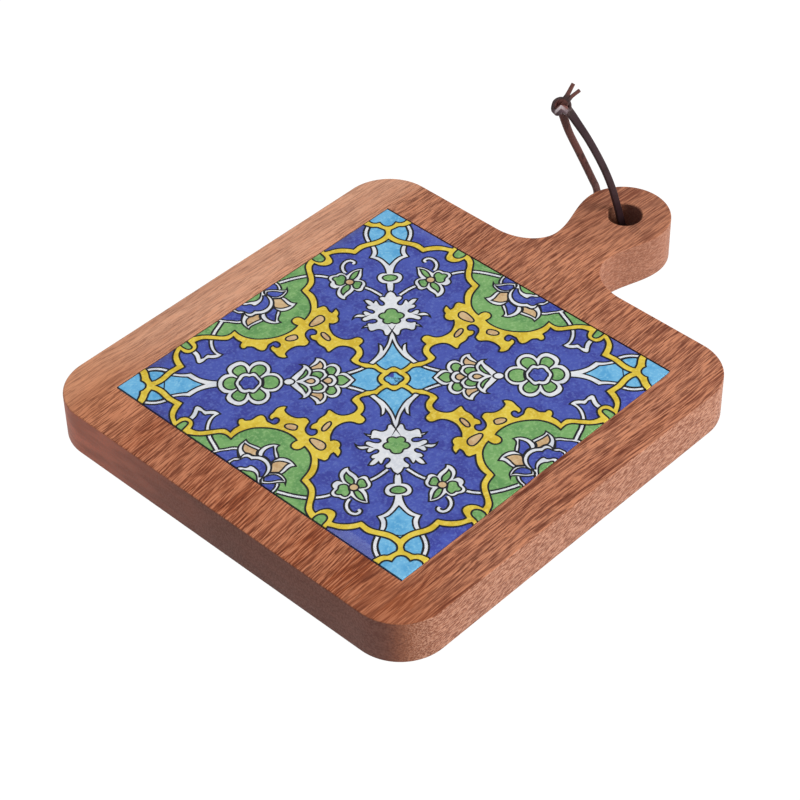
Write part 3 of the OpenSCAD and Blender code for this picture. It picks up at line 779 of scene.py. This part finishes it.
glaze("white", 3.5, [
    (50.4, 36.5, 1), (52.3, 35.2), (54, 34.2), (55.3, 33.2), (56.1, 31.6, 1), (57.3, 32.9),
    (58.4, 34.3), (59, 36), (59, 38), (58.2, 41, 1), (54, 41.5, 1), (51.5, 40.8, 1), (51.6, 38.6)])
glaze("apricot", 4, [
    (52, 40.5, 1), (53.4, 40.2), (54.6, 39.3), (56.3, 38.7, 1), (57.2, 37.2), (57.2, 35.3),
    (56.6, 33.6, 1), (55.1, 35), (53.4, 36.3), (51.6, 37.4, 1), (52.1, 38.9)])
glaze("white", 4.2, [
    (50, 52.6, 1), (48.3, 51.4), (47.1, 49.6), (46.6, 47.5), (46.8, 45.4), (47.7, 43.3),
    (49.1, 41.7), (50.8, 40.8), (52.6, 40.6), (53.7, 40.4), (54.4, 39.8), (55.4, 39.3),
    (56.6, 39.5), (57.4, 40.2), (58.1, 41.6, 1), (60, 41.2), (61.5, 42), (63.6, 43.6, 1),
    (63, 46, 1), (53, 56, 1), (50.2, 55.6, 1), (50.6, 53.8)])
glaze("cobalt", 4.6, [
    (49.8, 51.9, 1), (48.8, 49.9), (48.3, 47.8), (48.6, 45.7), (49.7, 43.9), (51.3, 42.8),
    (53.1, 42.5), (54, 42.7, 1), (54.8, 41.8), (55.8, 41.2), (56.9, 41.4), (57.8, 42.1),
    (59.2, 42.7), (60.4, 42.7, 1), (61.3, 43.4), (62.4, 44.8, 1), (60.5, 47.5, 1), (59.1, 46.5),
    (57.6, 46.2), (56.4, 46.6), (55.3, 46.4), (54.4, 45.7), (53.4, 46), (52.2, 47.2), (51.3, 48.6),
    (50.9, 50.1), (50.9, 51.8, 1)])
glaze("green", 4.6, [
    (51.8, 55, 1), (51.8, 52.6), (52.1, 50.7), (53, 49.3), (54.3, 48.6), (55.8, 48.4), (57.1, 47.9),
    (59, 48.5, 1), (57, 52, 1)])
# The yellow scrollwork, which lies over the rest
scrollwork = (all_round(RIM_OUTER, "both") + all_round(SIDE_INNER, "near_far")
              + all_round(CUP, "both") + all_round(FRONT_INNER, "left_right"))
lay("yellow", drawn(scrollwork, True, depth=coat_height(6) + SUNK), coat_height(6) / 2 - SUNK / 2)
line(scrollwork, True, 6, "network_line")
glaze("apricot", 7, [
    (26.4, 36.8), (26.9, 38), (28, 38.6), (29.2, 38.1), (30.3, 36.9), (31.3, 35.4), (32.2, 33.7),
    (32.3, 32.5), (31.5, 32), (30.2, 32.4), (28.7, 33.2), (27.3, 34.3), (26.5, 35.5)])
glaze("apricot", 7, [
    (24.2, 24.2), (24.7, 25.7), (25.6, 27.1), (26.7, 28.2), (27.6, 28.1), (27.8, 27), (27.3, 25.7),
    (26.4, 24.4), (25.3, 23.4), (24.5, 23.3)])
glaze("apricot", 7, [
    (37, 26), (37.4, 27), (38.3, 27.3), (39.8, 26.9), (41, 26.2), (41.7, 25.2), (41.4, 24.2),
    (40.3, 23.8), (38.9, 23.9), (37.7, 24.4), (37, 25.1)])

# Painted shade: a dark line down the two edges of the tile that the board's end grain meets,
# for the shadowed gap between the tile and the board
PAST_EDGE = 0.1
corner = TILE_HALF * math.sqrt(2) + PAST_EDGE
line([[(-PAST_EDGE, -corner, 1), (-corner, -PAST_EDGE, 1)],
      [(PAST_EDGE, corner, 1), (corner, PAST_EDGE, 1)]], False, 7)

for name, coat in painted.items():
    bmesh.ops.recalc_face_normals(coat, faces=coat.faces)
    for normal in (Vector((1, 0, 0)), Vector((-1, 0, 0)), Vector((0, 1, 0)), Vector((0, -1, 0))):
        whole = coat.verts[:] + coat.edges[:] + coat.faces[:]
        cut = bmesh.ops.bisect_plane(coat, geom=whole, dist=CUT_REACH, clear_outer=True,
                                     plane_co=normal * TILE_HALF, plane_no=normal)
        rim = [g for g in cut["geom_cut"] if isinstance(g, bmesh.types.BMEdge) and g.is_boundary]
        bmesh.ops.holes_fill(coat, edges=rim)
    cut_in_squares(coat, coat.faces[:], 50 if "line" in name else 6)
    crowned(coat, -1)
    set_in_pocket(coat)

# Each glaze: its main colour, where it has pooled, and its bright specks
GLAZES = {
    "white": ((222, 224, 228), (206, 210, 218), (236, 237, 240)),
    "yellow": ((221, 195, 66), (205, 175, 46), (235, 214, 104)),
    "green": ((118, 167, 100), (96, 148, 86), (148, 188, 126)),
    "turquoise": ((108, 178, 220), (84, 160, 208), (140, 200, 230)),
    "apricot": ((205, 175, 132), (190, 154, 110), (220, 194, 156)),
    "cobalt": ((69, 83, 170), (52, 58, 144), (102, 121, 194))}
for name, colours in GLAZES.items():
    paint, place = finish_named(name + "_glaze")
    colour, uneven, fine = fired(place, *colours)
    set_shader(paint, {**GLOSS, "Base Color": colour, "Coat Weight": 0.1,
                       "Roughness": 0.16 + fine * 0.06, "Normal": uneven})
    piece("glaze_" + name, painted[name], paint, "trivet")

ink, place = finish_named("dark_line")
grains = mottle(place, 900)
set_shader(ink, {
    "Base Color": blend(grains, tint(14, 14, 18), tint(26, 26, 34)),
    "Specular IOR Level": 0.3,
    "Roughness": 0.3 + grains * 0.2,
    "Normal": relief(grains, 0.02 * MM, 0.5)})
for name in ("line", "network_line"):
    piece("glaze_" + name, painted[name], ink, "trivet", smooth_below=80)

# ---------------------------------------------------------------------------
# The feet: four soft black stick-on pads, moulded with a round edge, which
# hold the plank off the table and clear of the thong.
# ---------------------------------------------------------------------------
rubber, place = finish_named("foot_rubber")
bloom = mottle(place, 260, detail=3.0)
pits = mottle(place, 2200, detail=1.0)
set_shader(rubber, {
    "Base Color": blend(bloom, tint(38, 36, 36), tint(58, 56, 55)),
    "Roughness": 0.55 + bloom * 0.2,
    "Normal": relief(pits, 0.03 * MM, 0.6)})
for corner in ("foot_front_left", "foot_front_right", "foot_handle_left", "foot_handle_right"):
    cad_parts[corner].material_slots[0].material = rubber

# ---------------------------------------------------------------------------
# The thong: one dark leather lace, put through the hanging hole, brought up
# past the side of the handle and tied. One end is wound round the other, and
# both are cut short.
# ---------------------------------------------------------------------------
LACE_WIDE = 3.15
LACE_THICK = 1.7
LACE_CORNER = 0.6
LACE_STEPS = 4
KNOT_STEPS = 6
# From this height up, the lace spreads by this share of its size for each millimetre
SPREAD_FROM = 60
SPREAD = 0.012
# Points along its middle line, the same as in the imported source, in millimetres from the
# middle of the hanging hole and from the table
LACE_WAY = [
    (-15.8, 19.8, 75.4), (-13.9, 18.9, 71.9), (-12.3, 17.3, 68), (-9.4, 14.4, 60.9),
    (-6.3, 11.2, 52), (-3.6, 8.7, 43.6), (-1.4, 6.7, 35.4), (0.1, 5.3, 28.2), (1.2, 4.2, 22.2),
    (2, 3.1, 16.8), (2.5, 1.9, 12), (2.9, 1.3, 8.2), (3.3, 1.7, 5.6), (3.7, 2.9, 3.5),
    (4.2, 4.8, 2.25), (4.8, 7.2, 1.75), (5.9, 11.4, 1.75), (7, 15.4, 1.75), (7.8, 18, 1.9),
    (8.6, 20.4, 2.9), (9.3, 22.3, 4.9), (9.8, 23.1, 7.7), (10.1, 23.1, 11.8), (9.8, 22.7, 16.5),
    (8, 22.2, 21.8), (5.1, 21.8, 27.2), (0.4, 21.7, 36.6), (-5.3, 22, 48.4), (-10.9, 22.4, 60),
    (-14, 22.8, 68.5), (-16.3, 22.95, 75.5)]
LACE_SIDE = Vector((0.966, -0.26, 0))
KNOT_MIDDLE = Vector((89.8, 21.3, 77.3))
# The knot's own directions: to the right, up and towards the eye, as it is seen
KNOT_RIGHT = Vector((0.687, -0.7266, -0.0126))
KNOT_UP = Vector((0.4962, 0.4563, 0.7387))
KNOT_OUT = Vector((-0.5309, -0.5137, 0.6742))
# Right, up and out of the knot's middle; the lace's share of its full width; and the way
# that its wide side runs, also right, up and out
WOUND_END = [
    (2.1, -2.1, 0.2, 1, 0.7, 0.7, -0.2), (1.6, -1.9, 1.5, 1, 0.45, 0.9, 0),
    (0.9, -1.5, 2.4, 1, 0.25, 0.95, 0.1), (-0.4, -1.4, 2.6, 1, -0.2, 1, 0),
    (-1.4, -2.4, 2.2, 1, -0.65, 0.75, 0.1), (-2.5, -2.6, 1.2, 1, -0.6, 0.5, 0.6),
    (-3.05, -1.4, 0.3, 1, -0.35, 0.2, 0.9), (-2.85, 0.2, -0.1, 1, -0.35, 0.1, 0.9),
    (-2.1, 1.6, 0, 1, -0.4, 0.3, 0.87), (-0.7, 2.35, 0.1, 1, -0.15, 0.47, 0.87),
    (0.9, 2.3, 0.1, 1, 0.2, 0.46, 0.87), (2.2, 1.7, 0, 1, 0.4, 0.3, 0.87),
    (2.8, 0.4, -0.3, 1, 0.4, 0.05, 0.9), (2.5, -0.8, -1.2, 1, 0.27, -0.8, 0.5),
    (1.3, -1.2, -2.2, 0.95, 0.05, -0.95, 0.1), (-0.5, -0.5, -2.4, 0.85, -0.6, -0.75, 0.27),
    (-1.0, 0.8, -1.4, 0.8, -0.95, -0.1, 0.2), (-0.5, 1.4, 0.2, 0.75, -0.9, 0.2, 0.3),
    (0.9, 2.5, 1.5, 0.68, -0.88, 0.47, 0.1), (2.2, 4.2, 1.9, 0.6, -0.9, 0.44, 0),
    (4.65, 8.75, 1.6, 0.53, -0.95, 0.3, 0)]
STRAIGHT_END = [
    (0.2, 0.4, -1.6, 1, 0.9, 0.3, -0.3), (0.7, 0.1, -0.1, 1, 0.9, 0.1, -0.2),
    (1.2, 0.5, 1.2, 0.9, 0.8, -0.4, 0.2), (2.5, 2.2, 1.9, 0.7, 0.6, -0.5, 0.6),
    (4.1, 3.8, 1.7, 0.5, 0.2, -0.3, 0.95), (7.2, 6.2, 1.4, 0.46, 0.2, -0.3, 0.95)]


def between(a, b, c, d, t):
    """A point on the smooth way from b to c, as the source draws it."""
    return [(2 * q + (r - p) * t + (2 * p - 5 * q + 4 * r - s) * t * t
             + (3 * q - p - 3 * r + s) * t * t * t) / 2 for p, q, r, s in zip(a, b, c, d)]


def smooth_way(points, steps):
    last = len(points) - 1
    way = [between(points[max(i - 1, 0)], points[i], points[i + 1], points[min(i + 2, last)],
                   k / steps) for i in range(last) for k in range(steps)]
    return way + [list(points[last])]


def stations(way):
    """Where the lace's cut faces stand along a way, as matrices."""
    places = []
    for i, point in enumerate(way):
        after, before = way[min(i + 1, len(way) - 1)], way[max(i - 1, 0)]
        ahead = (Vector(after[:3]) - Vector(before[:3])).normalized()
        wide = Vector(point[4:]) if len(point) > 4 else LACE_SIDE
        level = (wide - ahead * wide.dot(ahead)).normalized()
        turn = Matrix((level, ahead.cross(level), ahead)).transposed().to_4x4()
        drawn_in = Matrix.Diagonal((point[3], point[3] ** 0.3, 1, 1))
        places.append(Matrix.Translation(point[:3]) @ turn @ drawn_in)
    return places


def lace_along(lines):
    """A flat lace with soft corners, drawn out through its stations, in millimetres."""
    solid = bmesh.new()
    for places in lines:
        before = set(solid.verts)
        bmesh.ops.create_grid(solid, x_segments=1, y_segments=1, size=0.5,
                              matrix=Matrix.Diagonal((LACE_WIDE, LACE_THICK, 1, 1)))
        corners = [v for v in solid.verts if v not in before]
        bmesh.ops.bevel(solid, geom=corners, affect="VERTICES", offset=LACE_CORNER, segments=3,
                        profile=0.5, material=-1)
        end = [f for f in solid.faces if all(v not in before for v in f.verts)]
        bmesh.ops.transform(solid, matrix=places[0], verts=end[0].verts)
        for here, there in zip(places, places[1:]):
            drawn_out = bmesh.ops.extrude_face_region(solid, geom=end)["geom"]
            end = [g for g in drawn_out if isinstance(g, bmesh.types.BMFace)]
            bmesh.ops.transform(solid, matrix=there @ here.inverted(), verts=end[0].verts)
    bmesh.ops.recalc_face_normals(solid, faces=solid.faces)
    bmesh.ops.scale(solid, verts=solid.verts, vec=(MM, MM, MM))
    return solid


def seen_from_knot(right, up, out, share, *wide):
    ways = Matrix((KNOT_RIGHT, KNOT_UP, KNOT_OUT)).transposed()
    return [*(KNOT_MIDDLE + ways @ Vector((right, up, out))), share, *(ways @ Vector(wide))]


def into_knot(before, end, points):
    """The way of a lace's end through the knot, from where the loop stops."""
    loop_end = [(*before, *LACE_SIDE), (*end, *LACE_SIDE)]
    return smooth_way(loop_end + [seen_from_knot(*p) for p in points], KNOT_STEPS)[KNOT_STEPS:]


def dark_leather():
    """Oiled brown leather: fine pebbled grain, creases, and a painted grey sheen on the knot."""
    material, place = finish_named("dark_leather")
    pebble = mottle(place, 1500)
    crease = mottle(place, 420, (1, 1, 0.5), 3.0)
    patch = mottle(place, 45, detail=1.0)
    # The leg outside the handle and the cut ends show the redder flesh side
    height = part_of(place, 2)
    redder = rise(part_of(place, 1) - height * 0.067, 16.2, 16.9) + rise(height, 79, 81)
    brown = blend(redder, tint(48, 29, 34), tint(104, 65, 59))
    worn = blend(rise(patch, 0.4, 0.7) * 0.4, brown, tint(74, 55, 57))
    right, up, out = (
        place.node("ShaderNodeVectorMath", {"operation": "DOT_PRODUCT"}, {0: place, 1: way},
                   output="Value") * (1 / MM) - way.dot(KNOT_MIDDLE)
        for way in (KNOT_RIGHT, KNOT_UP, KNOT_OUT))
    # So does the inside of the knot, round which the darker face is wound. The bend over its
    # front gets a painted grey sheen, for the light that it catches
    from_middle = right * right + up * up
    in_knot = 1 - rise(from_middle + out * out, 22, 40)
    knotted = blend(rise(from_middle, 5, 9), tint(112, 70, 64), tint(72, 54, 53))
    fallen = place.node("ShaderNodeMath", {"operation": "MAXIMUM"},
                        {0: right * -0.95 - 0.37, 1: right * 0.6 + 0.24})
    band = rise(up + fallen, -1.7, -0.9) * (1 - rise(up + fallen, -0.2, 0.4))
    # Painted sheen: a bright grey highlight along the bend over the knot's front
    painted_sheen = (band * rise(out, 1.2, 2.2) * (1 - rise(right, -0.8, 1.9) * 0.85)
              * rise(right, -3.2, -2.5))
    # Painted sheen, dimmer: the low front of the knot greyed, for the light that it catches
    low = (1 - rise(up, -2.2, -1.2)) * rise(out, 0.6, 1.8)
    bound = blend(low, blend(in_knot, worn, knotted), tint(94, 75, 80))
    set_shader(material, {
        # The painted grey sheen lies over the knot's own colours, and the dark creases over both
        "Base Color": blend(rise(crease, 0.52, 0.7) * 0.55,
                            blend(painted_sheen, bound, tint(200, 187, 190)), tint(40, 27, 26)),
        "Roughness": 0.34 + pebble * 0.2 + crease * 0.12,
        "Specular IOR Level": 0.25,
        "Normal": relief(pebble * 0.5 + crease * 0.8, 0.12 * MM, 0.6)})
    return material


leather = dark_leather()
# The lace spreads a little where the knot grips it
set_out = [(HOLE_X / MM + x, y, z, 1 + SPREAD * max(z - SPREAD_FROM, 0)) for x, y, z in LACE_WAY]
lace_way = smooth_way(set_out, LACE_STEPS)
lace = piece("thong_lace", lace_along([stations(lace_way)]), leather, "hanging_thong",
             smooth_below=60)
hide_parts("thong_loop")
ends = [stations(into_knot(set_out[1], set_out[0], WOUND_END)),
        stations(into_knot(set_out[-2], set_out[-1], STRAIGHT_END))]
knot = piece("thong_tied_knot", lace_along(ends), leather, "hanging_thong",
             smooth_below=60)
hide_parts("thong_knot", "thong_tails")

# ---------------------------------------------------------------------------
# The table it lies on, the soft lamps over it, and the camera.
# ---------------------------------------------------------------------------
table = bmesh.new()
bmesh.ops.create_grid(table, x_segments=1, y_segments=1, size=4)
table_mesh = bpy.data.meshes.new("table")
table.to_mesh(table_mesh)
table.free()
table_top = bpy.data.objects.new("table", table_mesh)
bpy.context.scene.collection.objects.link(table_top)
paper, place = finish_named("white_table")
seen, mirrored, through = (place.node("ShaderNodeLightPath", {}, {}, output=f"Is {way} Ray")
                           for way in ("Camera", "Glossy", "Transmission"))
set_shader(paper, {"Base Color": tint(236, 236, 236), "Roughness": 0.9, "Specular IOR Level": 0.0})
glow = place.node("ShaderNodeEmission", {}, {"Color": (1, 1, 1, 1), "Strength": 1.08})
matte = Wire(paper.node_tree, paper.node_tree.nodes["Principled BSDF"].outputs[0])
plain = place.node("ShaderNodeMixShader", {},
                   {0: (seen + mirrored + through) * 0.94, 1: matte, 2: glow})
paper.node_tree.links.new(plain.socket, paper.node_tree.nodes["Material Output"].inputs[0])
table_mesh.materials.append(paper)


def lamp(name, place, aim, size, watts, mirrored=True):
    light = bpy.data.lights.new(name, "AREA")
    light.size = size
    light.energy = watts
    made = bpy.data.objects.new(name, light)
    made.location = place
    made.rotation_euler = (Vector(aim) - Vector(place)).to_track_quat("-Z", "Y").to_euler()
    made.visible_glossy = mirrored
    bpy.context.scene.collection.objects.link(made)


# As through a polarising filter, the low lamp's mirror image is kept off the glaze
lamp("window", (1.28, -1.84, 1.2), (0, 0, 0.02), 1.4, 60, mirrored=False)
lamp("ceiling", (0.0, 0.5, 1.7), (0, 0, 0.02), 1.2, 8.5)

sky = bpy.data.worlds.new("soft_room")
bpy.context.scene.world = sky
sky.use_nodes = True
all_round_light = sky.node_tree.nodes["Background"].inputs
all_round_light["Color"].default_value = (1, 1, 1, 1)
all_round_light["Strength"].default_value = 0.42

lens = bpy.data.cameras.new("camera")
lens.lens = 112.07
lens.sensor_width = 36
camera = bpy.data.objects.new("camera", lens)
camera.location = (-0.54005, -0.4958, 0.6614)
camera.rotation_euler = [math.radians(angle) for angle in (47.61, 0.72, -46.60)]
bpy.context.scene.collection.objects.link(camera)
bpy.context.scene.camera = camera
bpy.context.scene.view_settings.view_transform = "Standard"
